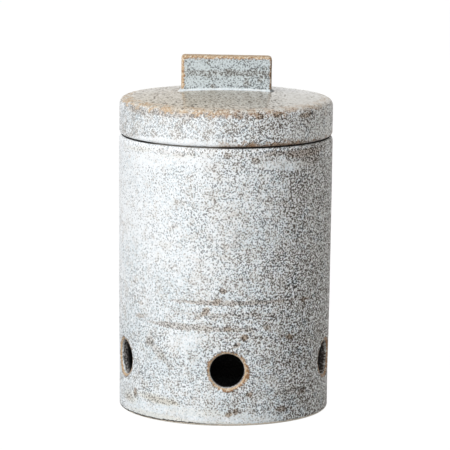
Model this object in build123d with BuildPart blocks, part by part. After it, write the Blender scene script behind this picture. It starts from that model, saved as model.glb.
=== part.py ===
from build123d import *

import os
from math import cos, hypot, radians, sin, sqrt

# Garlic keeper: a drain-cast stoneware jar with a ring of vent holes, and a hollow lid that lifts off.
# Millimetres, +Z up, with the origin at the middle of the foot on the surface that the jar stands on.
# The front of the jar faces -Y, and the tab on the lid lies along X.

# The jar
jar_height = 154.5  # foot to rim
jar_radius = 59.9  # outside of the wall at the rim
jar_wall = 5.5
draw_height = 70.0  # the wall draws in a little down to here, and faster from here to the foot
upper_draw = 0.45
lower_draw = 0.65
floor_height = 6.5  # inside of the floor above the foot
floor_corner_rounding = 9.0  # inside, between wall and floor
rim_outer_rounding = 2.4
rim_inner_rounding = 1.2
foot_rounding = 2.0
foot_ring_width = 5.0  # the flat ring that the jar stands on
foot_recess_depth = 1.5
foot_recess_rounding = 1.0

# The vent holes in its wall
vent_count = 5
vent_radius = 9.5
vent_height = 31.0  # middle of each hole above the foot
vent_turn = 2.0  # degrees from the front of the jar to the first hole
vent_outer_rounding = 1.8
vent_inner_rounding = 0.9

# The lid
lid_inset = 0.15  # how far its side stands in from the jar's rim
lid_side_height = 20.25  # seat to the sharp corner of side and dome
dome_rise = 5.25  # that corner to the top of the dome
lid_wall = 5.5
lid_top_rounding = 4.0
lid_edge_rounding = 2.0  # under the side
seat_width = 3.7  # the ring round the flange that bears on the rim
seat_relief = 0.5  # outside that ring, the lid stays this clear of the rim
lid_hollow_rounding = 2.0
flange_clearance = 1.5  # from the flange to the inside of the jar
flange_depth = 8.5  # below the seat
flange_wall = 5.0
flange_tip_rounding = 1.5
flange_root_rounding = 1.0

# The tab
tab_width = 50.4
tab_thickness = 10.0
tab_height = 19.0  # above the top of the dome
tab_corner_rounding = 2.0  # the two upper corners of the slab
tab_edge_rounding = 1.4  # the edges all round its two faces
slip_rounding = 1.3  # slip wiped into the corner of tab and dome

# What follows from them
draw_radius = jar_radius - upper_draw
foot_radius = draw_radius - lower_draw
mouth_radius = jar_radius - jar_wall
lid_radius = jar_radius - lid_inset
flange_radius = mouth_radius - flange_clearance
flange_bore = flange_radius - flange_wall
seat_radius = flange_radius + seat_width
hollow_radius = lid_radius - lid_wall
lid_corner_z = jar_height + lid_side_height
dome_top_z = lid_corner_z + dome_rise
dome_sphere_radius = (lid_radius**2 + dome_rise**2) / (2 * dome_rise)
tab_top_z = dome_top_z + tab_height


def dome_z(radius, depth=0.0):
    """Height of the dome at that radius, on its face or on the sphere that lies depth inside it."""
    return dome_top_z - dome_sphere_radius + sqrt((dome_sphere_radius - depth) ** 2 - radius**2)


def corner(sketch, point):
    """The corner of the sketch that lies nearest to that point of its plane."""
    return sketch.vertices().sort_by_distance(Vector(*point)).first


with BuildPart() as jar:
    foot_corner = (foot_radius, 0)
    rim_corner = (jar_radius, jar_height)
    mouth_corner = (mouth_radius, jar_height)
    floor_corner = (foot_radius - jar_wall, floor_height)
    recess_radius = foot_radius - foot_rounding - foot_ring_width
    recess_corner = (recess_radius, 0)
    with BuildSketch(Plane.XZ) as jar_section:
        with BuildLine():
            Polyline(
                foot_corner,
                (draw_radius, draw_height),
                rim_corner,
                mouth_corner,
                (draw_radius - jar_wall, draw_height),
                floor_corner,
                (0, floor_height),
                (0, foot_recess_depth),
                (recess_radius, foot_recess_depth),
                recess_corner,
                foot_corner,
            )
        make_face()
        fillet(corner(jar_section, foot_corner), foot_rounding)
        fillet(corner(jar_section, rim_corner), rim_outer_rounding)
        fillet(corner(jar_section, mouth_corner), rim_inner_rounding)
        fillet(corner(jar_section, floor_corner), floor_corner_rounding)
        fillet(corner(jar_section, recess_corner), foot_recess_rounding)
    revolve(axis=Axis.Z)

    bearings = [radians(vent_turn + 360 / vent_count * i) for i in range(vent_count)]
    vent_axes = [Plane((0, 0, vent_height), z_dir=(sin(a), -cos(a), 0)) for a in bearings]
    with BuildSketch(*vent_axes):
        Circle(vent_radius)
    extrude(amount=2 * jar_radius, mode=Mode.SUBTRACT)

    wall_middle = foot_radius - jar_wall / 2
    vent_rims = jar.edges(Select.LAST).filter_by(GeomType.LINE, reverse=True)
    outer_rims = vent_rims.filter_by(lambda rim: hypot((rim @ 0.5).X, (rim @ 0.5).Y) > wall_middle)
    inner_rims = vent_rims.filter_by(lambda rim: hypot((rim @ 0.5).X, (rim @ 0.5).Y) < wall_middle)
    fillet(outer_rims, vent_outer_rounding)
    fillet(inner_rims, vent_inner_rounding)

with BuildPart() as lid:
    flange_tip_z = jar_height - flange_depth
    shoulder_z = jar_height + lid_wall
    top_corner = (lid_radius, lid_corner_z)
    edge_corner = (lid_radius, jar_height + seat_relief)
    flange_root = (flange_radius, jar_height)
    flange_outer_tip = (flange_radius, flange_tip_z)
    flange_inner_tip = (flange_bore, flange_tip_z)
    shoulder_lip = (flange_bore, shoulder_z)
    shoulder_corner = (hollow_radius, shoulder_z)
    hollow_corner = (hollow_radius, dome_z(hollow_radius, lid_wall))
    halfway = lid_radius / 2
    with BuildSketch(Plane.XZ) as lid_section:
        with BuildLine():
            ThreePointArc((0, dome_top_z), (halfway, dome_z(halfway)), top_corner)
            Polyline(
                top_corner,
                edge_corner,
                (seat_radius, jar_height + seat_relief),
                (seat_radius, jar_height),
                flange_root,
                flange_outer_tip,
                flange_inner_tip,
                shoulder_lip,
                shoulder_corner,
                hollow_corner,
            )
            ThreePointArc(hollow_corner, (halfway, dome_z(halfway, lid_wall)), (0, dome_z(0, lid_wall)))
            Line((0, dome_z(0, lid_wall)), (0, dome_top_z))
        make_face()
        fillet(corner(lid_section, top_corner), lid_top_rounding)
        fillet(corner(lid_section, edge_corner), lid_edge_rounding)
        fillet(corner(lid_section, flange_root), flange_root_rounding)
        for tip in (flange_outer_tip, flange_inner_tip):
            fillet(corner(lid_section, tip), flange_tip_rounding)
        for hollow_turn in (shoulder_lip, shoulder_corner, hollow_corner):
            fillet(corner(lid_section, hollow_turn), lid_hollow_rounding)
    revolve(axis=Axis.Z)

# The slab is made down into the lid's wall, rounded, joined to the dome by its slip, and cut off on the dome
with BuildPart() as lid_tab:
    slab_bottom_z = dome_z(tab_width / 2, lid_wall / 2)
    with BuildSketch(Plane.XZ) as slab_outline:
        with Locations((0, (slab_bottom_z + tab_top_z) / 2)):
            Rectangle(tab_width, tab_top_z - slab_bottom_z)
        fillet(slab_outline.vertices().group_by(Axis.Y)[-1], tab_corner_rounding)
    extrude(amount=tab_thickness / 2, both=True)
    face_edges = lid_tab.faces().filter_by(Axis.Y).edges()
    upper_edges = face_edges.filter_by_position(Axis.Z, slab_bottom_z, tab_top_z, inclusive=(False, True))
    fillet(upper_edges, tab_edge_rounding)

    add(lid.part)
    joint_edges = lid_tab.edges(Select.LAST).filter_by(
        lambda edge: abs((edge @ 0.5).Z - dome_z(hypot((edge @ 0.5).X, (edge @ 0.5).Y))) < 0.01
        and abs((edge @ 0.5).X) < tab_width / 2 + 0.01
    )
    fillet(joint_edges, slip_rounding)
    add(lid.part, mode=Mode.SUBTRACT)

jar.part.label = "jar"
lid.part.label = "lid"
lid_tab.part.label = "lid_tab"

os.makedirs("parts", exist_ok=True)
export_step(jar.part, "parts/jar.step")
export_step(lid.part, "parts/lid.step")
export_step(lid_tab.part, "parts/lid_tab.step")
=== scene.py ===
"""A garlic keeper in speckled stoneware: a vented jar, its hollow lid and the tab that lifts the lid."""

import math

import bmesh
import bpy
from bpy.props import FloatProperty, FloatVectorProperty, IntProperty, PointerProperty
from mathutils import Matrix, Vector, noise


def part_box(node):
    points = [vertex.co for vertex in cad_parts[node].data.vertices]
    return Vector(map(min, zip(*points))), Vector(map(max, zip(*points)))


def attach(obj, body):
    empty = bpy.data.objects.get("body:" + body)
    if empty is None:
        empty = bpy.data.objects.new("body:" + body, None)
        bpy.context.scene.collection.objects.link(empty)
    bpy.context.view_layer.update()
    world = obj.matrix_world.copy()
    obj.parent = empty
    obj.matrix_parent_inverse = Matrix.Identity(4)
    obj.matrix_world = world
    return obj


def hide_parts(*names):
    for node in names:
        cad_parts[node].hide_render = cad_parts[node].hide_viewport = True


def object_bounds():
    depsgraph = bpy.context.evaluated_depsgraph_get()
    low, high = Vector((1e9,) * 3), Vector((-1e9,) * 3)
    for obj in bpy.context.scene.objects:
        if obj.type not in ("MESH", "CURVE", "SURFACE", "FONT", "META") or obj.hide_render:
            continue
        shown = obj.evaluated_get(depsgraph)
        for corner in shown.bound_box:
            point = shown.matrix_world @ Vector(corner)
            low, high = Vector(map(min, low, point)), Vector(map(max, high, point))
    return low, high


bl_info = {
    "name": "Garlic keeper",
    "version": (1, 0, 0),
    "blender": (4, 5, 0),
    "location": "View3D > Sidebar > Garlic keeper",
    "description": "Builds a glazed garlic keeper with a lift-off lid, and the stage that it stands on",
    "category": "Object",
}

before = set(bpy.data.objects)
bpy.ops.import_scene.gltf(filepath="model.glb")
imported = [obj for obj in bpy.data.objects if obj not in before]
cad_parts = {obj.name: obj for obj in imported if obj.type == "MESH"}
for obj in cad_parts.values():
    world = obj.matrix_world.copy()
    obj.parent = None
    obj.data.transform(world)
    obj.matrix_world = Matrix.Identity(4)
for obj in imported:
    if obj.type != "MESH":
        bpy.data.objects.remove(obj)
CAD_LOW, CAD_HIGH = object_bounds()
_, JAR_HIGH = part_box("jar")
LID_LOW, LID_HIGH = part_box("lid")
_, TAB_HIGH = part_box("lid_tab")

MM = 0.001
STEPS_ROUND = 240  # cells round the jar and the lid, a whole number between one vent and the next
CELL_TURN = math.tau / STEPS_ROUND
WINDOW_CELLS = 18  # cells across the square patch of wall that is relaid round each vent
ROW_SPACING = 3.0 * MM  # the most between two rows of cells elsewhere on the jar and the lid
DOME_ROWS = 15
CEILING_ROWS = 12
MERGE_DISTANCE = 0.002 * MM

# Places and sizes of the lamps, in metres
KEY_PLACE = (-0.78, -0.78, 0.62)
KEY_SIZE = 0.8
FILL_PLACE = (0.85, -1.85, 0.6)
FILL_SIZE = 1.0
FILL_TINT = (1.0, 0.99, 0.975)
WHITE = (1.0, 1.0, 1.0)


# ---- Settings ----


def amount(name, description, default, **kind):
    """A number from 0 up that the user may change."""
    return FloatProperty(name=name, description=description, default=default, min=0.0, **kind)


def length(name, description, default):
    """A length, given here in millimetres."""
    return amount(name, description, default * MM, precision=5, subtype="DISTANCE", unit="LENGTH")


def share(name, description, default):
    """A number from 0 to 1."""
    return amount(name, description, default, max=1.0, subtype="FACTOR")


def turn(name, description, degrees):
    """An angle, given here in degrees."""
    return FloatProperty(name=name, description=description, default=math.radians(degrees), subtype="ANGLE")


def tint(name, description, *colour):
    """A colour, as linear red, green and blue."""
    return FloatVectorProperty(
        name=name, description=description, default=colour, size=3, min=0.0, max=1.0, subtype="COLOR"
    )


class JarSettings(bpy.types.PropertyGroup):
    """Sizes of the jar"""

    height: length("Height", "Foot to rim", JAR_HIGH.z / MM)
    radius: length("Radius", "Outside of the wall at the rim", JAR_HIGH.x / MM)
    wall: length("Wall", "Thickness of the wall", 5.5)
    draw_height: length("Draw height", "The wall draws in more from here down to the foot", 70.0)
    upper_draw: length("Upper draw", "How far the wall draws in from the rim to the draw height", 0.45)
    lower_draw: length("Lower draw", "How far the wall draws in from the draw height to the foot", 0.65)
    waist: length("Waist", "How far the wall falls in between the foot and the top of the vents", 0.2)
    waist_height: length("Waist height", "Where that fall ends", 46.0)
    floor_height: length("Floor height", "Inside of the floor above the foot", 6.5)
    floor_rounding: length("Floor rounding", "Inside corner of wall and floor", 9.0)
    rim_outer_rounding: length("Outer rim rounding", "Outside corner of the rim", 2.4)
    rim_inner_rounding: length("Inner rim rounding", "Inside corner of the rim", 1.2)
    foot_rounding: length("Foot rounding", "Outside corner of the foot", 2.0)
    foot_ring_width: length("Foot ring width", "Width of the flat ring that the jar stands on", 5.0)
    foot_recess: length("Foot recess", "Depth of the recess inside the foot ring", 1.5)
    recess_rounding: length("Recess rounding", "Corner of the foot ring and its recess", 1.0)
    vent_count: IntProperty(name="Vents", description="Vent holes round the wall", default=5, min=1)
    vent_radius: length("Vent radius", "Radius of each vent hole", 9.5)
    vent_height: length("Vent height", "Middle of each vent above the foot", 31.0)
    vent_turn: turn("Vent turn", "From the front of the jar to the first vent", 2.0)
    vent_outer_rounding: length("Vent outer rounding", "Lip of each vent on the outside", 1.8)
    vent_inner_rounding: length("Vent inner rounding", "Lip of each vent on the inside", 0.9)


class LidSettings(bpy.types.PropertyGroup):
    """Sizes of the lid"""

    radius: length("Radius", "Outside of the lid", LID_HIGH.x / MM)
    dome_top: length("Top", "Top of the dome above the foot of the jar", LID_HIGH.z / MM)
    dome_rise: length("Dome rise", "From the corner of side and dome to the top of the dome", 5.25)
    wall: length("Wall", "Thickness of the side and the dome", 5.5)
    top_rounding: length("Top rounding", "Corner of side and dome", 4.0)
    edge_rounding: length("Edge rounding", "Corner under the side", 2.0)
    seat_width: length("Seat width", "Width of the ring round the flange that bears on the rim", 3.7)
    seat_relief: length("Seat relief", "How far the lid stays clear of the rim outside that ring", 0.5)
    hollow_rounding: length("Hollow rounding", "Corners inside the lid", 2.0)
    flange_clearance: length("Flange clearance", "From the flange to the inside of the jar", 1.5)
    flange_wall: length("Flange wall", "Thickness of the flange", 5.0)
    flange_tip_rounding: length("Flange tip rounding", "Edges of the flange's lower end", 1.5)
    flange_root_rounding: length("Flange root rounding", "Corner of flange and seat", 1.0)


class TabSettings(bpy.types.PropertyGroup):
    """Sizes of the tab on the lid"""

    width: length("Width", "Along the tab", 50.4)
    thickness: length("Thickness", "Across the tab", 10.0)
    corner_rounding: length("Corner rounding", "The two upper corners of the slab", 2.0)
    edge_rounding: length("Edge rounding", "The edges round its two faces", 1.4)
    slip_rounding: length("Slip rounding", "Slip wiped into the corner of tab and dome", 1.3)
    slip_depth: length("Slip depth", "How far the slip bites into the dome", 0.3)
    slip_lump: length("Slip lump", "How far a lump of slip stands out at the left front corner", 1.1)
    top_fall: length("Top fall", "How much lower the right end of its top is than the left", 0.5)


class GlazeSettings(bpy.types.PropertyGroup):
    """Colours and grain of the glaze and the clay under it"""

    white: tint("White", "Glaze where it lies thick", 0.885, 0.912, 0.93)
    blue_grey: tint("Blue grey", "Glaze where it lies thinner", 0.715, 0.78, 0.815)
    slate: tint("Slate", "Cool specks", 0.022, 0.024, 0.026)
    umber: tint("Umber", "Warm specks", 0.052, 0.035, 0.023)
    tan: tint("Tan", "Clay that shows through where the glaze breaks", 0.57, 0.405, 0.25)
    rust: tint("Rust", "Darker marks along broken edges", 0.30, 0.16, 0.075)
    halo: tint("Halo", "Glaze just round a warm speck", 0.50, 0.425, 0.335)
    dome: tint("Dome", "Thin glaze on top of the lid", 0.60, 0.485, 0.30)
    face: tint("Face", "Thin glaze on the faces of the tab", 0.40, 0.46, 0.465)
    # Painted shade: this grey darkens the glaze down the vents, standing for the shade in the bores.
    bore: tint("Bore", "Thin glaze down the vents", 0.46, 0.44, 0.42)
    # Painted shade: this near black stands for the shade deep in the vents and all over the inside of the
    # jar. It also draws the dark lines along edges, some of which are painted shade in the seam, at the foot
    # and down the tab's right end.
    inside: tint("Inside", "Dark glaze inside the jar, and dark lines along edges", 0.011, 0.008, 0.006)
    stain: tint("Stain", "Brown stains in the glaze", 0.36, 0.255, 0.16)
    cream: tint("Cream", "Glaze that has turned cream near the foot", 0.76, 0.71, 0.59)
    clay: tint("Clay", "Bare fired clay", 0.88, 0.80, 0.68)
    speck_size: length("Speck size", "Distance from one speck to the next", 0.76)
    unevenness: length("Unevenness", "How far the hand-finished surface falls in", 0.12)
    gloss_roughness: share("Glaze roughness", "Roughness of the glaze", 0.36)
    dome_roughness: share("Dome roughness", "Roughness of the smoother glaze on top of the lid", 0.15)
    speck_roughness: share("Speck roughness", "How much rougher the specks are", 0.55)
    clay_roughness: share("Clay roughness", "Roughness of the bare clay", 0.85)


class StageSettings(bpy.types.PropertyGroup):
    """Camera, lamps and floor"""

    camera_distance: length("Camera distance", "From the middle of the jar, along the floor", 1900.0)
    camera_height: length("Camera height", "Above the floor", 413.58)
    camera_pitch: turn("Camera pitch", "Turned up from looking straight down", 80.71)
    camera_roll: turn("Camera roll", "Turned round its own axis", 0.58)
    camera_lens: amount("Focal length", "Focal length in millimetres on a sensor 36 mm wide", 273.84)
    key_power: amount("Key power", "Power of the big soft lamp on the left, in watts", 11.2)
    fill_power: amount("Fill power", "Power of the weak lamp on the right, in watts", 8.1)
    ambient: share("Ambient", "Strength of the light from all round", 0.42)
    floor_size: length("Floor size", "From the middle of the floor to its edge", 4000.0)
    floor_grey: share("Floor grey", "How much of the light on it the floor sends back", 0.4)
    floor_light: amount("Floor light", "Strength of the floor's own white", 1.16)
    floor_glow: share("Floor glow", "Share of the floor's white that no shadow reaches", 0.85)


class KeeperSettings(bpy.types.PropertyGroup):
    """Everything that a user may change"""

    jar: PointerProperty(type=JarSettings)
    lid: PointerProperty(type=LidSettings)
    tab: PointerProperty(type=TabSettings)
    glaze: PointerProperty(type=GlazeSettings)
    stage: PointerProperty(type=StageSettings)


# ---- Shapes ----


def between(value, low, high):
    """Eases from 0 at low to 1 at high."""
    way = min(max((value - low) / (high - low), 0.0), 1.0)
    return way * way * (3.0 - 2.0 * way)


def draw_line(bm, start, points):
    """Carries an outline in the XZ plane on through the points, and returns its new vertices."""
    made = []
    for radius, height in points:
        made.append(bm.verts.new((radius, 0.0, height)))
        bm.edges.new((start, made[-1]))
        start = made[-1]
    return made


def draw_arc(bm, start, centre_height, angle, steps):
    """Carries an outline on along an arc about a point of the axis, and returns its last vertex."""
    made = bmesh.ops.spin(
        bm, geom=[start], cent=(0.0, 0.0, centre_height), axis=(0.0, 1.0, 0.0), angle=angle, steps=steps
    )
    return made["geom_last"][0]


def bevel(bm, geom, offset, segments, affect="EDGES"):
    """Rounds edges of a solid, or corners of an outline."""
    shape = {"offset_type": "OFFSET", "profile": 0.5, "material": -1}
    bmesh.ops.bevel(bm, geom=geom, offset=offset, segments=segments, affect=affect, **shape)


def round_corner(bm, corner, rounding, segments):
    """Rounds one corner of an outline."""
    arms = [edge.other_vert(corner).co - corner.co for edge in corner.link_edges]
    turned = math.pi - arms[0].angle(arms[1])
    bevel(bm, [corner], rounding * math.tan(turned / 2), segments, affect="VERTICES")


def divide_edges(bm, edges, spacing):
    """Divides each of the edges into equal parts no longer than the spacing."""
    for edge in edges:
        cuts = math.ceil(edge.calc_length() / spacing - 0.01) - 1
        if cuts > 0:
            bmesh.ops.subdivide_edges(bm, edges=[edge], cuts=cuts)


def spin_round(bm, start_angle):
    """Spins an outline round the upright axis from that angle into a closed shell that faces outwards."""
    bmesh.ops.rotate(bm, verts=bm.verts, cent=(0.0, 0.0, 0.0), matrix=Matrix.Rotation(start_angle, 3, "Z"))
    bmesh.ops.spin(
        bm,
        geom=bm.verts[:] + bm.edges[:],
        cent=(0.0, 0.0, 0.0),
        axis=(0.0, 0.0, 1.0),
        angle=math.tau,
        steps=STEPS_ROUND,
        use_merge=True,
    )
    bmesh.ops.remove_doubles(bm, verts=bm.verts, dist=MERGE_DISTANCE)
    bmesh.ops.recalc_face_normals(bm, faces=bm.faces)


def plan_radius(point):
    """Distance of a point from the upright axis."""
    return math.hypot(point.x, point.y)


def set_plan_radius(vert, radius):
    """Moves a vertex straight out from the upright axis, or straight in, to that radius."""
    scale = radius / plan_radius(vert.co)
    vert.co.x *= scale
    vert.co.y *= scale


def press_in(bm, depth, seed):
    """Lets the walls fall in unevenly by up to that depth, as finishing by hand leaves them."""
    innermost = 20.0 * MM
    broad = 38.0 * MM
    ringed = 9.0 * MM
    for vert in bm.verts:
        radius = plan_radius(vert.co)
        if radius < innermost:
            continue
        swell = noise.noise(vert.co / broad + Vector((seed, 0.0, 0.0)))
        ring = noise.noise(Vector((vert.co.x / broad, vert.co.y / broad, vert.co.z / ringed + seed)))
        hollow = min(max(0.5 + 0.55 * swell + 0.3 * ring, 0.0), 1.0)
        set_plan_radius(vert, radius - depth * hollow)


def add_object(bm, name, material):
    """Turns a mesh into an object of the scene that stands at the origin."""
    mesh = bpy.data.meshes.new(name)
    bm.to_mesh(mesh)
    bm.free()
    mesh.materials.append(material)
    added = bpy.data.objects.new(name, mesh)
    bpy.context.scene.collection.objects.link(added)
    return added


def finish_piece(bm, name, material, body, node):
    """Turns a mesh into a piece of the object that rides on a body in place of a CAD node."""
    for face in bm.faces:
        face.smooth = True
    piece = add_object(bm, name, material)
    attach(piece, body)
    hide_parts(node)


class Vent:
    """One vent hole, bored square to the jar's axis."""

    def __init__(self, jar, number):
        bearing = jar.vent_turn + math.tau / jar.vent_count * number
        self.out = Vector((math.sin(bearing), -math.cos(bearing), 0.0))
        self.side = Vector((math.cos(bearing), math.sin(bearing), 0.0))
        self.height = jar.vent_height
        self.radius = jar.vent_radius

    def faces(self, point):
        """Whether the point lies on the vent's side of the axis."""
        return point.dot(self.out) > 0.0

    def turn_to(self, point):
        """Angle round the jar from the vent to the point."""
        return math.atan2(point.dot(self.side), point.dot(self.out))

    def distance(self, point):
        """Distance of a point from the vent's axis."""
        return math.hypot(point.dot(self.side), point.z - self.height)

    def frame(self):
        """Places a circle of the XY plane round the vent's axis."""
        turned = Matrix((self.side, Vector((0.0, 0.0, 1.0)), self.out)).transposed().to_4x4()
        return Matrix.Translation((0.0, 0.0, self.height)) @ turned


def wall_radius(jar, height):
    """Outside of the jar's wall at that height."""
    draw_radius = jar.radius - jar.upper_draw
    if height > jar.draw_height:
        return draw_radius + jar.upper_draw * (height - jar.draw_height) / (jar.height - jar.draw_height)
    waist = 0.0
    if height < jar.waist_height:
        waist = jar.waist * math.sin(math.pi * height / jar.waist_height) ** 2
    return draw_radius - jar.lower_draw * (1.0 - height / jar.draw_height) - waist


def draw_jar_outline(bm, jar):
    """Draws half a section of the jar, from the middle of its underside to the middle of its floor."""
    window = WINDOW_CELLS / 2 * CELL_TURN * jar.radius
    window_heights = (jar.vent_height - window, jar.vent_height + window)
    foot_radius = jar.radius - jar.upper_draw - jar.lower_draw
    recess_radius = foot_radius - jar.foot_rounding - jar.foot_ring_width
    middle = bm.verts.new((0.0, 0.0, jar.foot_recess))
    outside = [(wall_radius(jar, height), height) for height in (*window_heights, jar.draw_height)]
    inside = [(radius - jar.wall, height) for radius, height in reversed(outside)]
    _, recess_corner, foot = draw_line(
        bm, middle, [(recess_radius, jar.foot_recess), (recess_radius, 0.0), (foot_radius, 0.0)]
    )
    *_, rim, mouth = draw_line(
        bm, foot, [*outside, (jar.radius, jar.height), (jar.radius - jar.wall, jar.height)]
    )
    *_, floor_corner, _ = draw_line(
        bm, mouth, [*inside, (foot_radius - jar.wall, jar.floor_height), (0.0, jar.floor_height)]
    )
    round_corner(bm, recess_corner, jar.recess_rounding, 3)
    round_corner(bm, foot, jar.foot_rounding, 6)
    round_corner(bm, rim, jar.rim_outer_rounding, 7)
    round_corner(bm, mouth, jar.rim_inner_rounding, 5)
    round_corner(bm, floor_corner, jar.floor_rounding, 8)

    in_window = []
    elsewhere = []
    for edge in bm.edges:
        middle_height = (edge.verts[0].co.z + edge.verts[1].co.z) / 2
        is_upright = abs(edge.verts[0].co.z - edge.verts[1].co.z) > window
        if is_upright and window_heights[0] < middle_height < window_heights[1]:
            in_window.append(edge)
        else:
            elsewhere.append(edge)
    bmesh.ops.subdivide_edges(bm, edges=in_window, cuts=WINDOW_CELLS - 1)
    divide_edges(bm, elsewhere, ROW_SPACING)
    margin = 1.0 * MM
    for vert in bm.verts:
        if window_heights[0] - margin < vert.co.z < jar.draw_height - margin:
            is_outside = vert.co.x > foot_radius - jar.wall / 2
            if is_outside or vert.co.x > foot_radius - jar.wall - margin / 2:
                vert.co.x = wall_radius(jar, vert.co.z) - (0.0 if is_outside else jar.wall)


def lay_ring(bm, vent, radius, jar, inset):
    """Lays a ring of edges on the wall round a vent, on the face that lies inset from the outside."""
    made = bmesh.ops.create_circle(bm, segments=4 * WINDOW_CELLS, radius=radius, matrix=vent.frame())
    for vert in made["verts"]:
        across = vert.co.dot(vent.side)
        face_radius = wall_radius(jar, vert.co.z) - inset
        vert.co += vent.out * math.sqrt(face_radius**2 - across**2)
    return list(dict.fromkeys(edge for vert in made["verts"] for edge in vert.link_edges))


def relay_patch(bm, vent, jar, rounding, inset):
    """Deletes a square patch of one face of the wall and relays it round the vent. Returns the vent's lip."""
    half_turn = WINDOW_CELLS / 2 * CELL_TURN
    half_height = half_turn * jar.radius
    wall_middle = jar.radius - jar.upper_draw - jar.lower_draw - jar.wall / 2
    guard_width = 0.9 * MM
    patch = []
    for face in bm.faces:
        middle = face.calc_center_median()
        if abs(middle.z - vent.height) > half_height or abs(vent.turn_to(middle)) > half_turn:
            continue
        if (plan_radius(middle) > wall_middle) == (inset == 0.0):
            patch.append(face)
    bmesh.ops.delete(bm, geom=patch, context="FACES")
    patch_edges = [edge for edge in bm.edges if edge.is_boundary]
    guard = lay_ring(bm, vent, vent.radius + rounding + guard_width, jar, inset)
    spokes = bmesh.ops.bridge_loops(bm, edges=patch_edges + guard)["edges"]
    laid = bmesh.ops.subdivide_edges(bm, edges=spokes, cuts=3, use_grid_fill=True)
    for vert in laid["geom_inner"]:
        if isinstance(vert, bmesh.types.BMVert):
            set_plan_radius(vert, wall_radius(jar, vert.co.z) - inset)
    lip = lay_ring(bm, vent, vent.radius, jar, inset)
    bmesh.ops.bridge_loops(bm, edges=guard + lip)
    return lip


def bore_vent(bm, vent, jar):
    """Bores one vent through the wall and rounds both its lips."""
    outer_lip = relay_patch(bm, vent, jar, jar.vent_outer_rounding, 0.0)
    sealed = bmesh.ops.holes_fill(bm, edges=outer_lip)["faces"]
    inner_lip = relay_patch(bm, vent, jar, jar.vent_inner_rounding, jar.wall)
    bmesh.ops.delete(bm, geom=sealed, context="FACES_ONLY")
    bmesh.ops.bridge_loops(bm, edges=outer_lip + inner_lip)
    bevel(bm, outer_lip, jar.vent_outer_rounding, 6)
    bevel(bm, inner_lip, jar.vent_inner_rounding, 3)


def note_vent_lips(bm, vents, jar):
    """Stores how many millimetres each vertex lies along the wall from a vent or, below 0, down its bore."""
    farthest = 20.0 * MM
    layer = bm.verts.layers.float.new("from_lip")
    for vert in bm.verts:
        depth = max(wall_radius(jar, vert.co.z) - plan_radius(vert.co), 0.0)
        near = [vent.distance(vert.co) - vent.radius for vent in vents if vent.faces(vert.co)]
        out = min(near, default=farthest)
        if depth > jar.wall / 2:
            vert[layer] = -depth / MM
        else:
            vert[layer] = min(max(out, 0.0) - depth, farthest) / MM


def make_jar(settings):
    """The jar: turned wall and floor, a foot ring and a ring of vents."""
    jar = settings.jar
    vents = [Vent(jar, number) for number in range(jar.vent_count)]
    bm = bmesh.new()
    draw_jar_outline(bm, jar)
    spin_round(bm, jar.vent_turn - math.pi / 2)
    for vent in vents:
        bore_vent(bm, vent, jar)
    bmesh.ops.recalc_face_normals(bm, faces=bm.faces)
    note_vent_lips(bm, vents, jar)
    press_in(bm, settings.glaze.unevenness, 3.1)
    finish_piece(bm, "stoneware_jar", jar_finish(settings), "jar", "jar")


def dome_radius(lid):
    """Radius of the sphere that the lid's dome is part of."""
    return (lid.radius**2 + lid.dome_rise**2) / (2 * lid.dome_rise)


def dome_height(lid, radius, depth=0.0):
    """Height of the dome at that radius, or of the sphere that lies depth inside it."""
    sphere = dome_radius(lid)
    return lid.dome_top - sphere + math.sqrt((sphere - depth) ** 2 - radius**2)


def make_lid(settings):
    """The lid: a hollow dome with a flange that drops into the jar's mouth."""
    jar = settings.jar
    lid = settings.lid
    sphere = dome_radius(lid)
    centre_height = lid.dome_top - sphere
    flange_radius = jar.radius - jar.wall - lid.flange_clearance
    flange_bore = flange_radius - lid.flange_wall
    hollow_radius = lid.radius - lid.wall
    seat_height = jar.height
    seat_radius = flange_radius + lid.seat_width
    shoulder_height = seat_height + lid.wall

    bm = bmesh.new()
    top = bm.verts.new((0.0, 0.0, lid.dome_top))
    top_corner = draw_arc(bm, top, centre_height, math.asin(lid.radius / sphere), DOME_ROWS)
    edge, _, _, root, outer_tip, inner_tip, lip, shoulder, ceiling = draw_line(
        bm,
        top_corner,
        [
            (lid.radius, seat_height + lid.seat_relief),
            (seat_radius, seat_height + lid.seat_relief),
            (seat_radius, seat_height),
            (flange_radius, seat_height),
            (flange_radius, LID_LOW.z),
            (flange_bore, LID_LOW.z),
            (flange_bore, shoulder_height),
            (hollow_radius, shoulder_height),
            (hollow_radius, dome_height(lid, hollow_radius, lid.wall)),
        ],
    )
    draw_arc(bm, ceiling, centre_height, -math.asin(hollow_radius / (sphere - lid.wall)), CEILING_ROWS)
    round_corner(bm, top_corner, lid.top_rounding, 8)
    round_corner(bm, edge, lid.edge_rounding, 7)
    round_corner(bm, root, lid.flange_root_rounding, 3)
    for tip in (outer_tip, inner_tip):
        round_corner(bm, tip, lid.flange_tip_rounding, 4)
    for corner in (lip, shoulder, ceiling):
        round_corner(bm, corner, lid.hollow_rounding, 4)
    divide_edges(bm, bm.edges[:], ROW_SPACING)
    spin_round(bm, 0.0)
    press_in(bm, settings.glaze.unevenness, 7.7)
    finish_piece(bm, "stoneware_lid", lid_finish(settings), "lid", "lid")


def cut_rows(bm, low, high, spacing, normal):
    """Cuts the mesh by planes square to the normal, at even steps from low to high."""
    rows = round((high - low) / spacing)
    for number in range(1, rows):
        place = low + (high - low) * number / rows
        bmesh.ops.bisect_plane(
            bm,
            geom=bm.verts[:] + bm.edges[:] + bm.faces[:],
            dist=MERGE_DISTANCE,
            plane_co=Vector(normal) * place,
            plane_no=normal,
        )


def carry_on(bm, rim):
    """Extrudes an open rim of edges, and returns the new vertices and the new rim."""
    made = bmesh.ops.extrude_edge_only(bm, edges=rim)["geom"]
    verts = [item for item in made if isinstance(item, bmesh.types.BMVert)]
    return verts, [item for item in made if isinstance(item, bmesh.types.BMEdge) and item.is_boundary]


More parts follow.
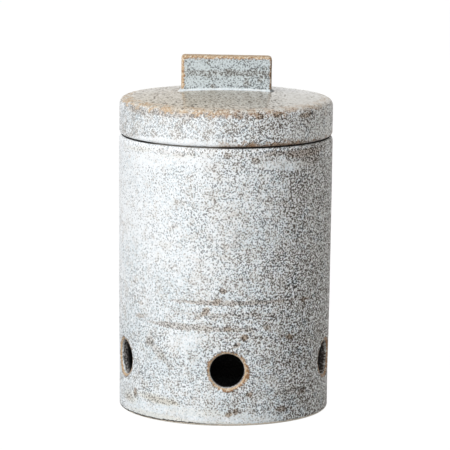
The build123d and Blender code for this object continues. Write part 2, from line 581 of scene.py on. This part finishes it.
def wipe_slip(bm, foot, tab, lid):
    """Carries the slab's open foot out onto the dome in a hollow rounding and closes it inside the lid."""
    core_x = tab.width / 2 - tab.edge_rounding
    core_y = tab.thickness / 2 - tab.edge_rounding
    lump_at = Vector((-tab.width / 2, -tab.thickness / 2, 0.0))
    lump_size = 2.2 * MM
    steps = 5
    reached = 0.0
    for number in range(1, steps + 1):
        angle = math.pi / 2 * number / steps
        reach = tab.slip_rounding * (1.0 - math.cos(angle))
        rise = tab.slip_rounding * (1.0 - math.sin(angle))
        verts, foot = carry_on(bm, foot)
        for vert in verts:
            core = Vector((min(max(vert.co.x, -core_x), core_x), min(max(vert.co.y, -core_y), core_y), 0.0))
            plan = Vector((vert.co.x, vert.co.y, 0.0))
            lump = tab.slip_lump * math.exp(-(((plan - lump_at).length / lump_size) ** 2)) / steps
            plan += (plan - core).normalized() * (reach - reached + lump)
            vert.co = (plan.x, plan.y, dome_height(lid, plan.length) + rise)
        reached = reach
    verts, foot = carry_on(bm, foot)
    bmesh.ops.translate(bm, verts=verts, vec=(0.0, 0.0, -tab.slip_depth))
    bmesh.ops.holes_fill(bm, edges=foot)


def make_tab(settings):
    """The tab: a slab luted upright on the dome."""
    tab = settings.tab
    lid = settings.lid
    top = TAB_HIGH.z
    bottom = dome_height(lid, tab.width / 2)
    height = top - bottom
    face_spacing = 2.0 * MM
    row_spacing = 1.6 * MM
    wobble_reach = 0.14 * MM  # how far the slab strays from straight and flat
    wobble_size = 11.0 * MM  # from one swell to the next
    taper = 0.02  # how much thinner its upper part is, as a share of its thickness
    bm = bmesh.new()
    bmesh.ops.create_cube(bm, size=1.0)
    bmesh.ops.scale(bm, vec=(tab.width, tab.thickness, height), verts=bm.verts)
    bmesh.ops.translate(bm, vec=(0.0, 0.0, bottom + height / 2), verts=bm.verts)

    def ends(edge):
        return edge.verts[0].co, edge.verts[1].co

    upper_corners = [edge for edge in bm.edges if all(end.z > top - MM for end in ends(edge))]
    upper_corners = [edge for edge in upper_corners if abs(ends(edge)[0].x - ends(edge)[1].x) < MM]
    bevel(bm, upper_corners, tab.corner_rounding, 5)
    face_edges = [edge for edge in bm.edges if abs(ends(edge)[0].y - ends(edge)[1].y) < 0.1 * MM]
    face_edges = [edge for edge in face_edges if any(end.z > bottom + MM for end in ends(edge))]
    bevel(bm, face_edges, tab.edge_rounding, 5)
    cut_rows(bm, -tab.width / 2, tab.width / 2, face_spacing, (1.0, 0.0, 0.0))
    cut_rows(bm, -tab.thickness / 2, tab.thickness / 2, face_spacing, (0.0, 1.0, 0.0))
    cut_rows(bm, bottom, top, row_spacing, (0.0, 0.0, 1.0))

    sole = [face for face in bm.faces if face.normal.z < -0.9]
    bmesh.ops.delete(bm, geom=sole, context="FACES")
    foot = [edge for edge in bm.edges if edge.is_boundary]
    for vert in bm.verts:
        up = (vert.co.z - bottom) / height
        above_foot = between(up, 0.0, 0.4)
        low = dome_height(lid, plan_radius(vert.co)) + tab.slip_rounding
        slope = tab.top_fall * (vert.co.x / tab.width + 0.5)
        wobble = noise.noise(vert.co / wobble_size) * wobble_reach
        vert.co.z = low + (top - slope - low) * up - abs(wobble) * between(up, 0.5, 1.0)
        vert.co.y *= 1.0 - (taper + abs(wobble) / (0.5 * tab.thickness)) * above_foot
        vert.co.x -= wobble * above_foot * 0.8
    wipe_slip(bm, foot, tab, lid)
    bmesh.ops.recalc_face_normals(bm, faces=bm.faces)
    finish_piece(bm, "stoneware_tab", tab_finish(settings), "lid", "lid_tab")


# ---- Finishes ----


class Pattern:
    """A number, colour or shader that differs from place to place, as one output of a node. Arithmetic with
    patterns adds math nodes: a & b is the lower of two, and a | b the higher. A mask runs from 0 to 1."""

    def __init__(self, output):
        self.output = output
        self.tree = output.id_data

    def ease(self, low, high, start=0, end=1):
        """Eases from start, where the pattern is low, to end, where it is high."""
        values = {"Value": self, "From Min": low, "From Max": high, "To Min": start, "To Max": end}
        return pattern(self.tree, "MapRange", values, interpolation_type="SMOOTHSTEP")

    def within(self, low, full, still_full, high):
        """A mask that rises from low to full, and falls again from still full to high."""
        return self.ease(low, full) * self.ease(high, still_full)

    def __add__(self, other):
        return calculate("ADD", self, other)

    def __sub__(self, other):
        return calculate("SUBTRACT", self, other)

    def __rsub__(self, other):
        return calculate("SUBTRACT", other, self)

    def __mul__(self, other):
        return calculate("MULTIPLY", self, other)

    def __and__(self, other):
        return calculate("MINIMUM", self, other)

    def __or__(self, other):
        return calculate("MAXIMUM", self, other)


def add_node(tree, kind, inputs, **settings):
    """Adds a node. Its inputs, by name or number, are linked to patterns or set to plain values."""
    node = tree.nodes.new("ShaderNode" + kind)
    for name, setting in settings.items():
        setattr(node, name, setting)
    for name, value in inputs.items():
        socket = node.inputs[name]
        if isinstance(value, Pattern):
            tree.links.new(value.output, socket)
        elif isinstance(value, (int, float)):
            socket.default_value = value
        else:
            socket.default_value = (*value, 1)[: len(socket.default_value)]
    return node


def pattern(tree, kind, inputs, output=0, **settings):
    """The pattern that a new node gives."""
    return Pattern(add_node(tree, kind, inputs, **settings).outputs[output])


def calculate(operation, *values):
    """The pattern that a sum of patterns and plain numbers gives."""
    tree = next(value.tree for value in values if isinstance(value, Pattern))
    return pattern(tree, "Math", dict(enumerate(values)), operation=operation)


class Finish:
    """A procedural material in the making. Its x, y, z and radius are the piece's own, in millimetres."""

    def __init__(self, name):
        self.material = bpy.data.materials.new(name)
        self.material.use_nodes = True
        self.tree = self.material.node_tree
        self.point = pattern(self.tree, "TexCoord", {}, output="Object")
        scaled = pattern(self.tree, "VectorMath", {0: self.point, "Scale": 1 / MM}, operation="SCALE")
        self.x, self.y, self.z = map(Pattern, add_node(self.tree, "SeparateXYZ", {0: scaled}).outputs)
        self.radius = calculate("SQRT", self.x * self.x + self.y * self.y)
        self.nowhere = pattern(self.tree, "Value", {})
        self.nowhere.output.default_value = 0

    def mix(self, factor, first, second):
        """A colour between two colours."""
        return pattern(self.tree, "Mix", {0: factor, 6: first, 7: second}, output=2, data_type="RGBA")

    def shifted(self, stretch, shift):
        """The piece's coordinates, stretched and moved, so that no two patterns lie alike."""
        move = (shift, -0.7 * shift, 1.3 * shift)
        scale = [1 / part for part in stretch]
        return pattern(self.tree, "Mapping", {"Vector": self.point, "Location": move, "Scale": scale})

    def noise(self, size, detail=2, roughness=0.5, stretch=(1, 1, 1), shift=0, output="Fac"):
        """Cloudy noise about that far from one cloud to the next."""
        inputs = {"Vector": self.shifted(stretch, shift), "Scale": 1 / (size * MM)}
        return pattern(self.tree, "TexNoise", {**inputs, "Detail": detail, "Roughness": roughness}, output)

    def cells(self, size, shift):
        """Distance to the nearest of many scattered points, as a share of their spacing."""
        inputs = {"Vector": self.shifted((1, 1, 1), shift), "Scale": 1 / (size * MM)}
        return pattern(self.tree, "TexVoronoi", inputs, output="Distance")

    def ragged_point(self):
        """The piece's coordinates, pushed about at random, which gives what they draw a ragged edge."""
        reach = 2.4 * MM
        push = {0: self.noise(1.8, shift=0.27, output="Color"), 1: (reach, reach, reach), 2: self.point}
        return pattern(self.tree, "VectorMath", push, operation="MULTIPLY_ADD")

    def ovals(self, point, places):
        """The strongest of ovals on the front of the piece. Each fades out past half its width and height."""
        front = -58  # y of their middles
        half_depth = 60
        fade = 1.6  # how many half widths and heights the gradient of an oval reaches
        strongest = None
        for x, z, half_width, half_height, tilt, strength in places:
            node = add_node(self.tree, "TexGradient", {"Vector": point}, gradient_type="SPHERICAL")
            node.texture_mapping.vector_type = "TEXTURE"
            node.texture_mapping.translation = (x * MM, front * MM, z * MM)
            node.texture_mapping.rotation = (0, math.radians(tilt), 0)
            node.texture_mapping.scale = (fade * half_width * MM, half_depth * MM, fade * half_height * MM)
            inside = Pattern(node.outputs["Fac"]).ease(0.15, 0.5, 0, strength)
            strongest = strongest | inside if strongest else inside
        return strongest


def glaze(finish, look, crowding, thinness, warmth, **places):
    """Wires up the glaze and returns the material. crowding says how thick the specks lie, thinness how blue
    the glaze between them is, and warmth how brown they are. Most of the places are masks: where the glaze is
    stained, creamy, veiled by the colour veil, bored for a vent, where it is darkened as painted shade, unlit
    inside the jar, where near black is painted as shade, broken, or smooth as on the dome, where broken glaze
    is edged by rust, where the clay is bare, and where a dark line runs, in places painted shade.
    contrast darkens the specks, grain is their size as a share of the speck size, and edge holds the levels
    at which a speck starts and is full.
    """
    names = ("stained", "creamy", "veiled", "bored", "unlit", "broken", "edged", "bare", "lined", "smooth")
    masks = [places.get(name, finish.nowhere) for name in names]
    stained, creamy, veiled, bored, unlit, broken, edged, bare, lined, smooth = masks
    speck_size = look.speck_size / MM
    size = places["grain"] * speck_size
    grain = finish.noise(size, roughness=0.6, shift=0.31) * 0.75
    grain = grain + (0.29 - finish.cells(1.5 * size, shift=0.17) * 0.3)
    if "smooth" in places:
        grain = smooth.ease(0, 1, grain, finish.noise(1.8 * speck_size, roughness=0.6, shift=0.31))
    crowding = crowding + stained * 0.22
    level = grain + crowding * 0.2
    speck = level.ease(*places.get("edge", (0.595, 0.645)))
    strength = crowding.ease(0, 0.65, 0.5, 0.95) * places["contrast"]
    fine_ground = finish.noise(1.6 * speck_size, roughness=0.6, shift=0.77)
    clouds = finish.noise(22, shift=0.13)
    blue = fine_ground * 0.7 + clouds * 0.3 + (thinness - 0.5) * 0.16
    ground = finish.mix(blue.ease(0.43, 0.58), look.white, look.blue_grey)
    ground = finish.mix(warmth * level.ease(0.53, 0.6, 0.12, 0.4), ground, look.halo)
    ground = finish.mix(stained.ease(0, 1, 0, 0.8), ground, look.stain)
    ground = finish.mix(creamy * 0.45, ground, look.cream)
    ground = finish.mix(veiled, ground, places.get("veil", look.dome))
    # Painted shade: the glaze down the vents turns to the darker bore grey.
    ground = finish.mix(bored, ground, look.bore)
    dark = finish.mix(warmth, look.slate, look.umber)
    colour = finish.mix(speck * strength, ground, dark)

    mottle = finish.noise(1, detail=3, roughness=0.6, shift=0.51)
    broken_colour = finish.mix((mottle + edged * 0.22).ease(0.52, 0.68), look.tan, look.rust)
    broken_colour = finish.mix(mottle.ease(0.48, 0.36), broken_colour, look.cream)
    colour = finish.mix(broken, colour, broken_colour)
    clay_grain = finish.noise(0.7, detail=3, roughness=0.7, shift=0.9)
    clay_colour = finish.mix(clay_grain.ease(0.5, 0.85), look.clay, look.tan)
    colour = finish.mix(bare, colour, clay_colour)
    # Painted shade: near black deep in the vents and all over the inside of the jar.
    inside = finish.mix(clouds.ease(0.4, 0.65), look.inside, look.slate)
    colour = finish.mix(unlit, colour, inside)
    # Dark lines, some of them painted shade in the seam, along the foot and down the tab's right end.
    colour = finish.mix(lined, colour, look.inside)

    roughness = smooth.ease(0, 1, look.gloss_roughness, look.dome_roughness)
    roughness = speck.ease(0, 1, roughness, roughness + look.speck_roughness)
    dullness = bare | lined | broken * 0.6
    roughness = dullness.ease(0, 1, roughness, look.clay_roughness)
    height = 1 - speck * 0.6 - bare * clay_grain
    bump = pattern(finish.tree, "Bump", {"Strength": 0.35, "Distance": 0.08 * MM, "Height": height})
    shader = finish.tree.nodes["Principled BSDF"]
    for name, value in (("Base Color", colour), ("Roughness", roughness), ("Normal", bump)):
        finish.tree.links.new(value.output, shader.inputs[name])
    return finish.material


def side_crowding(finish, left, right):
    """Crowding that rises or falls from the left side of the keeper to its right, in uneven clouds."""
    clouds = finish.noise(18, detail=2.5, roughness=0.55, stretch=(1, 1, 0.7), shift=0.4)
    return finish.x.ease(-60, 67, left, right) + (clouds - 0.5) * 0.38


def painted_seam_shade(finish, settings):
    """Painted shade between rim and lid outside the seat: how dark the gap is painted, lighter where glaze
    runs close, on the left.
    """
    jar, lid = settings.jar, settings.lid
    seat = (jar.radius - jar.wall - lid.flange_clearance + lid.seat_width) / MM
    lighter = finish.x.within(-44, -34, -10, 4)
    return finish.radius.ease(seat - 0.6, seat - 0.1) * lighter.ease(0, 1, 1, 0.55)


# Ovals on the front of the keeper. Each row gives x and z of the middle, half the width and height, all in
# millimetres, the tilt in degrees and the strength. First come brown stains on the jar
JAR_STAINS = (
    (6, 70.3, 34, 1.3, 0, 0.5),
    (3, 63.5, 27, 1, 0, 0.35),
    (-20, 56.2, 22, 1.7, 1, 0.42),
    (4, 55.4, 16, 1.3, 0, 0.42),
    (24, 50.5, 16, 0.9, 0, 0.2),
    (0.4, 77.1, 1.8, 1.5, 20, 0.65),
    (-3, 70.6, 2.8, 1.7, -25, 0.7),
    (-9.3, 65.1, 3, 1.6, -45, 0.7),
    (-13.5, 62, 1.8, 1.2, 0, 0.5),
    (45.8, 69.5, 2.6, 1.2, 0, 0.8),
    (3.4, 55.9, 2.6, 1.3, 0, 0.7),
    (12.5, 50.8, 2, 1.7, 0, 1),
    (24.8, 56, 1.8, 1.4, 0, 0.6),
    (37.4, 49.6, 2.1, 1.5, 0, 1),
    (8.3, 46.6, 2.4, 1.2, -30, 0.6),
    (-45.4, 58.6, 3.2, 1.4, -10, 0.5),
    (-45, 66, 2.2, 1.2, 20, 0.4),
    (-39.8, 45.6, 2.6, 3, 30, 0.45),
    (-34.5, 39.8, 7, 2.4, 45, 0.35),
    (-28.5, 34, 3, 2, 60, 0.3),
    (15.4, 18.7, 2, 1.2, -20, 0.8),
    (36, 19, 7, 1.9, -8, 0.4),
    (44.4, 17.5, 3.2, 1.9, -10, 0.5),
    (4.2, 7.9, 2, 1.3, 0, 0.8),
    (7.8, 9.4, 1.5, 1.6, 0, 0.7),
    (33.2, 9.3, 3.2, 1.5, 0, 0.6),
    (-33, 13, 10, 1.6, 4, 0.4),
    (-47.9, 14.6, 1.2, 3.2, 0, 0.7),
    (-52, 10, 4, 3, 0, 0.45),
    (2, 151.6, 1.8, 1.6, 0, 0.5),
    (17.5, 148.8, 2.2, 1.8, 0, 0.5),
    (30, 152.4, 8, 1.4, 0, 0.5),
    (46, 151.2, 12, 2.6, 0, 0.6),
    (49, 146.6, 8, 3.4, 0, 0.35),
)
# Where the jar's glaze has run together and covers the specks
JAR_POOLS = (
    (26, 146.2, 9, 2, 0, 0.55),
    (39, 145, 10, 2.4, 3, 0.55),
    (-38, 147, 32, 2.8, -3, 0.5),
    (-21, 47, 8, 4.5, -10, 0.5),
    (-40, 6.5, 40, 4.5, 0, 0.6),
    (6, 4, 26, 3.2, 0, 0.8),
)
# Where it is broken farther out from the front vent
VENT_BREAKS = (
    (14, 31, 2.4, 4.6, 8, 1),
    (-10.4, 37.2, 1.8, 1.6, 0, 1),
    (3.8, 21.6, 2.6, 1.4, 0, 0.8),
)
# Where it has turned cream
JAR_CREAM = (
    (-36, 13.5, 12, 2.6, 6, 0.9),
    (-52, 11, 6, 5, 0, 0.9),
    (-38, 3.5, 22, 2.2, 3, 0.8),
    (-12, 8.5, 16, 2, 0, 0.4),
    (-10, 2.5, 20, 1.4, 0, 0.6),
    (-49, 151.6, 11, 1.6, -5, 0.6),
    (-26, 150.4, 12, 1.2, -4, 0.4),
)
# Brown stains on the side of the lid
LID_STAINS = (
    (8.4, 173.4, 2.2, 1.6, 0, 0.7),
    (19.7, 173, 2.4, 1.8, 0, 0.8),
    (29.3, 173.8, 2.8, 1.4, 0, 0.8),
    (44.7, 172, 3.5, 1.6, 0, 0.8),
    (56.5, 171, 2.5, 2.5, 0, 0.7),
    (-57, 168, 3, 6, 0, 0.4),
    (-50, 173, 10, 2.6, 0, 0.5),
    (-28, 173.6, 16, 2, 0, 0.5),
    (4, 173.8, 20, 1.4, 0, 0.4),
    (22, 156.2, 30, 0.8, 0, 0.7),
    (14.5, 157.4, 2.2, 1.4, 0, 0.8),
    (29, 157.2, 3.5, 1.5, 0, 0.8),
    (40, 156.9, 6, 1.6, 0, 0.7),
    (-20, 171, 3, 1.2, 0, 0.4),
)
# Where the lid's glaze covers the specks
LID_POOLS = (
    (-34, 157.6, 24, 2, -2, 0.9),
    (-4, 158, 12, 1.4, 0, 0.6),
)


def jar_finish(settings):
    """Glaze of the jar: stained here and there, broken round the vents, bare on the rim and the foot."""
    finish = Finish("jar_glaze")
    x, z = finish.x, finish.z
    rim = settings.jar.height / MM
    point = finish.ragged_point()
    ragged = finish.noise(2.2, detail=3, roughness=0.7, shift=0.87)
    lowness = z.ease(115, 25)
    low_left = lowness * x.ease(-15, -50)
    rings = finish.noise(1.5, detail=1.5, stretch=(11, 11, 1), shift=0.21)
    ringed = z.within(45, 55, 76, 88)
    smudges = finish.noise(7, detail=1.5, stretch=(1.5, 1.5, 1), shift=0.63).ease(0.6, 0.72)
    stained = finish.ovals(point, JAR_STAINS) | smudges * 0.3
    warmth = finish.noise(6, detail=2.5, roughness=0.6, shift=0.05)
    warmth = warmth + x.ease(15, 58, 0, 0.14) + x.ease(-45, 0, -0.07, 0)

    from_lip = pattern(finish.tree, "Attribute", {}, output="Fac", attribute_name="from_lip")
    # Down the bores, where the glaze gets more specks and a darker grey as painted shade.
    bored = from_lip.ease(-1.4, -2.2)
    lip = from_lip + ragged.ease(0.3, 0.7, -0.9, 0.9) - finish.ovals(point, VENT_BREAKS) * 1.3
    lip_line = lip.within(1, 1.4, 1.8, 2.4) * finish.noise(3, detail=1.5, shift=0.36).ease(0.44, 0.56)
    # Darkens the bore of the vent on the right toward near black.
    right_bore_darkened = bored * x.ease(46, 54, 0, 0.7) * ragged.ease(0.4, 0.55)
    foot = z + ragged.ease(0.3, 0.7, -0.3, 0.3)
    # Painted shade: a dark line round the foot where it meets the floor, strongest on the left.
    painted_foot_shade = foot.within(0.85, 1, 1.55, 1.75) * x.ease(-25, 10, 1, 0.1)
    # Painted shade on the rim where it lies in the gap under the lid.
    painted_rim_shade = z.ease(rim - 0.35, rim - 0.2) * painted_seam_shade(finish, settings)

    crowding = side_crowding(finish, 0.13, 0.53) + lowness * 0.06 + low_left * 0.14
    crowding = crowding + (rings - 0.5) * ringed.ease(0, 1, 0.15, 0.26)
    crowding = crowding - finish.ovals(point, JAR_POOLS) * 0.5 + bored * 0.3
    return glaze(
        finish,
        settings.glaze,
        crowding,
        thinness=lowness * 0.5 + x.ease(-60, 50, 0.05, 0.28),
        warmth=warmth.ease(0.42, 0.6) | stained,
        contrast=x.ease(18, 50, 1.04, 1.22),
        grain=0.92,
        stained=stained,
        creamy=finish.ovals(point, JAR_CREAM) | x.ease(35, 58, 0, 0.45),
        bored=bored,
        # Painted shade: near black deep in the vents and all over the inside of the jar.
        unlit=from_lip.ease(-3, -4.6),
        broken=from_lip.ease(-0.9, -0.4) * lip.ease(2, 1.3),
        edged=from_lip.ease(0.6, 1.6) | x.ease(46, 54, 0, 1.3),
        bare=foot.ease(1.5, 1.1) | z.ease(rim - 0.12, rim - 0.06),
        lined=painted_foot_shade | painted_rim_shade | right_bore_darkened | lip_line * 0.6,
    )


def lid_finish(settings):
    """Glaze of the lid: smooth and brown on top, broken along the dome's edge, bare on seat and flange."""
    finish = Finish("lid_glaze")
    x, z = finish.x, finish.z
    seat = settings.jar.height / MM
    corner = (settings.lid.dome_top - settings.lid.dome_rise) / MM
    point = finish.ragged_point()
    ragged = finish.noise(3, detail=3, roughness=0.7, shift=0.29)
    level = z + ragged.ease(0.3, 0.7, -2.2, 2.2)
    is_outer = finish.radius.ease(52, 54)
    on_top = z.ease(corner - 1.75, corner + 1.05)
    # Beside the tab, and most toward the right, the dome gets fewer specks: a painted sheen that lightens it
    # where it reflects the white surround. In front of the tab it keeps more specks, darker as the tab's
    # painted reflection.
    painted_sheen_beside_tab = x.ease(-30, 40, 0.3, 0.1)
    in_front_of_tab = x.within(-38, -20, 24, 38)
    on_dome = in_front_of_tab.ease(0, 1, painted_sheen_beside_tab, 0.33)
    clumps = finish.noise(4.5, shift=0.84)
    crowding = side_crowding(finish, 0.47, 0.4) - finish.ovals(point, LID_POOLS) * 0.7 + (clumps - 0.5) * 0.35
    crowding = crowding + on_top * (on_dome - crowding)
    warmth = finish.noise(6, detail=2.5, roughness=0.6, shift=0.15) + x.ease(-10, 55, 0, 0.12)

    from_band = level + x.ease(-54, -25, -1.5, 0)
    band = from_band.within(corner - 3.15, corner - 1.35, corner + 0.45, corner + 2.25)
    patches = finish.noise(6, detail=2.5, shift=0.58).ease(0.42, 0.56, 0.25, 1)
    lower_edge = level.ease(seat + 3.4, seat + 2.2) * x.ease(-12, 6, 0, 0.75)
    # Painted shade on the lid's underside where it lies in the gap above the rim.
    relief = z.ease(seat + 0.8, seat + 0.6) * painted_seam_shade(finish, settings)
    edge_line = level.ease(seat + 2.8, seat + 1.6) * ragged.ease(0.36, 0.5) * x.ease(-10, 5, 0, 0.3)
    return glaze(
        finish,
        settings.glaze,
        crowding,
        thinness=x.ease(-60, 50, 0.2, 0.45),
        warmth=warmth.ease(0.42, 0.6) | on_top * 0.8,
        contrast=on_top.ease(0, 1, x.ease(-20, 30, 0.65, 1.1), 1.15),
        grain=0.92,
        stained=finish.ovals(point, LID_STAINS),
        creamy=x.ease(30, 57, 0, 0.6),
        # The warm veil is the glaze's own tone on the dome. It thins toward the right, a painted sheen that
        # lightens that side.
        veiled=on_top * x.ease(-45, 45, 0.66, 0.35),
        broken=(band * x.ease(-40, 30, 0.9, 0.6) | lower_edge) * patches * is_outer,
        edged=x.ease(-30, 20) * level.ease(corner + 0.85, corner - 0.95),
        bare=z.ease(seat + 0.12, seat + 0.06),
        lined=relief | edge_line * is_outer,
        smooth=on_top,
    )


def tab_finish(settings):
    """Glaze of the tab: slate specks on blue grey, broken along its top and one end, darker down its right
    end partly as painted shade, white at its foot from pooled glaze and a painted highlight.
    """
    finish = Finish("tab_glaze")
    x, z = finish.x, finish.z
    tab = settings.tab
    half_width = tab.width / 2 / MM
    dome_bend = 0.5 * MM / dome_radius(settings.lid)
    above_dome = z + (finish.radius * finish.radius * dome_bend - settings.lid.dome_top / MM)
    from_left = x + half_width
    from_right = half_width - x
    from_top = TAB_HIGH.z / MM - z
    clumps = finish.noise(4.5, stretch=(1.4, 1.4, 1), shift=0.44)
    band = from_top.within(7.4, 9, 10.4, 12.4)
    speck_line = above_dome.within(1, 1.4, 1.8, 2.4)
    crowding = x.ease(-20, 22, 0.44, 0.54) + (clumps - 0.5) * 1.2 + band * 0.25 + speck_line * 0.15
    wander = finish.noise(2, detail=3, roughness=0.7, shift=0.59).ease(0.3, 0.7, -0.6, 0.6)
    from_edge = (from_left & from_top & from_right + 0.7) + wander
    glazed_face = above_dome.ease(0.7, 1.1, 0.35, 1)
    return glaze(
        finish,
        settings.glaze,
        # Specks give out at the foot: pooled white glaze, made whiter as a painted highlight on the slip's
        # curve.
        crowding + above_dome.ease(1, 0.7, 0, -2),
        thinness=glazed_face * 1.4,
        warmth=band * 0.8 | clumps.ease(0.55, 0.7),
        contrast=0.86,
        grain=1.05,
        edge=(0.545, 0.75),
        veiled=glazed_face * 0.45,
        veil=settings.glaze.face,
        broken=from_edge.ease(2.2, 1.4) * above_dome.ease(0.8, 1.6),
        edged=from_edge.ease(0.8, 1.8),
        # A dark line down the right end: partly a rusty glaze edge, partly painted shade of the end that
        # faces away from the key lamp.
        lined=(from_right + wander).ease(0.9, 0.4, 0, 0.7) * from_top.ease(1, 3),
    )


# ---- Stage ----


def seen_directly(tree):
    """1 for rays from the camera, a glossy bounce or a transmission, and 0 for the light on surfaces."""
    path = add_node(tree, "LightPath", {})
    camera, glossy, through = [
        Pattern(path.outputs[name]) for name in ("Is Camera Ray", "Is Glossy Ray", "Is Transmission Ray")
    ]
    return camera | glossy | through


def light_world(stage):
    """A white surround that lights the keeper evenly from all round."""
    world = bpy.data.worlds.new("studio")
    world.use_nodes = True
    tree = world.node_tree
    background = tree.nodes["Background"]
    background.inputs["Color"].default_value = (*WHITE, 1.0)
    strength = seen_directly(tree).ease(0.0, 1.0, stage.ambient, 1.0)
    tree.links.new(strength.output, background.inputs["Strength"])
    bpy.context.scene.world = world


def lay_floor(stage):
    """A white floor that keeps a faint shadow."""
    material = bpy.data.materials.new("white_floor")
    material.use_nodes = True
    tree = material.node_tree
    tree.nodes.clear()
    lit = pattern(tree, "BsdfDiffuse", {"Color": [stage.floor_grey] * 3})
    glow = pattern(tree, "Emission", {"Color": WHITE, "Strength": stage.floor_light})
    glow_share = seen_directly(tree) * stage.floor_glow
    mixed = pattern(tree, "MixShader", {0: glow_share, 1: lit, 2: glow})
    add_node(tree, "OutputMaterial", {"Surface": mixed})
    bm = bmesh.new()
    bmesh.ops.create_grid(bm, x_segments=1, y_segments=1, size=stage.floor_size)
    floor = add_object(bm, "floor", material)


def hang_lamp(name, place, aim, size, power, colour):
    """A square soft lamp that faces the point it is aimed at."""
    lamp = bpy.data.lights.new(name, "AREA")
    lamp.shape = "SQUARE"
    lamp.size = size
    lamp.energy = power
    lamp.color = colour
    holder = bpy.data.objects.new(name, lamp)
    holder.location = place
    holder.rotation_euler = (Vector(aim) - Vector(place)).to_track_quat("-Z", "Y").to_euler()
    bpy.context.scene.collection.objects.link(holder)


def set_camera(stage):
    """The camera, a little above the keeper and square to its front."""
    camera = bpy.data.cameras.new("camera")
    camera.lens = stage.camera_lens
    camera.sensor_width = 36.0
    holder = bpy.data.objects.new("camera", camera)
    place = Matrix.Translation((0.0, -stage.camera_distance, stage.camera_height))
    pitch = Matrix.Rotation(stage.camera_pitch, 4, "X")
    roll = Matrix.Rotation(stage.camera_roll, 4, "Z")
    holder.matrix_world = place @ pitch @ roll
    bpy.context.scene.collection.objects.link(holder)
    bpy.context.scene.camera = holder


# ---- Operators and panel ----


class KEEPER_OT_make_jar(bpy.types.Operator):
    """Makes the jar with its foot ring and vents"""

    bl_idname = "keeper.make_jar"
    bl_label = "Make the jar"
    bl_options = {"REGISTER", "UNDO"}

    def execute(self, context):
        make_jar(context.scene.garlic_keeper)
        return {"FINISHED"}


class KEEPER_OT_make_lid(bpy.types.Operator):
    """Makes the hollow lid with its flange"""

    bl_idname = "keeper.make_lid"
    bl_label = "Make the lid"
    bl_options = {"REGISTER", "UNDO"}

    def execute(self, context):
        make_lid(context.scene.garlic_keeper)
        return {"FINISHED"}


class KEEPER_OT_make_tab(bpy.types.Operator):
    """Makes the tab that the lid is lifted by"""

    bl_idname = "keeper.make_tab"
    bl_label = "Make the tab"
    bl_options = {"REGISTER", "UNDO"}

    def execute(self, context):
        make_tab(context.scene.garlic_keeper)
        return {"FINISHED"}


class KEEPER_OT_set_stage(bpy.types.Operator):
    """Sets up the camera, the lamps, the surround and the floor"""

    bl_idname = "keeper.set_stage"
    bl_label = "Set the stage"
    bl_options = {"REGISTER", "UNDO"}

    def execute(self, context):
        stage = context.scene.garlic_keeper.stage
        middle = (0.0, 0.0, CAD_HIGH.z / 2)
        context.scene.view_settings.view_transform = "Standard"
        set_camera(stage)
        light_world(stage)
        lay_floor(stage)
        hang_lamp("key", KEY_PLACE, middle, KEY_SIZE, stage.key_power, WHITE)
        hang_lamp("fill", FILL_PLACE, middle, FILL_SIZE, stage.fill_power, FILL_TINT)
        return {"FINISHED"}


class KEEPER_PT_panel(bpy.types.Panel):
    """Lists the pieces and their settings"""

    bl_idname = "KEEPER_PT_panel"
    bl_label = "Garlic keeper"
    bl_space_type = "VIEW_3D"
    bl_region_type = "UI"
    bl_category = "Garlic keeper"

    def draw(self, context):
        settings = context.scene.garlic_keeper
        steps = (
            (KEEPER_OT_set_stage, settings.stage),
            (KEEPER_OT_make_jar, settings.jar),
            (KEEPER_OT_make_lid, settings.lid),
            (KEEPER_OT_make_tab, settings.tab),
            (None, settings.glaze),
        )
        for operator, group in steps:
            box = self.layout.box()
            if operator:
                box.operator(operator.bl_idname)
            for name in group.bl_rna.properties.keys():
                if name not in ("rna_type", "name"):
                    box.prop(group, name)


CLASSES = (
    JarSettings,
    LidSettings,
    TabSettings,
    GlazeSettings,
    StageSettings,
    KeeperSettings,
    KEEPER_OT_make_jar,
    KEEPER_OT_make_lid,
    KEEPER_OT_make_tab,
    KEEPER_OT_set_stage,
    KEEPER_PT_panel,
)


def register():
    for cls in CLASSES:
        bpy.utils.register_class(cls)
    bpy.types.Scene.garlic_keeper = PointerProperty(type=KeeperSettings)


def unregister():
    del bpy.types.Scene.garlic_keeper
    for cls in reversed(CLASSES):
        bpy.utils.unregister_class(cls)


def main():
    register()
    bpy.ops.keeper.set_stage()
    bpy.ops.keeper.make_jar()
    bpy.ops.keeper.make_lid()
    bpy.ops.keeper.make_tab()


if __name__ == "__main__":
    main()
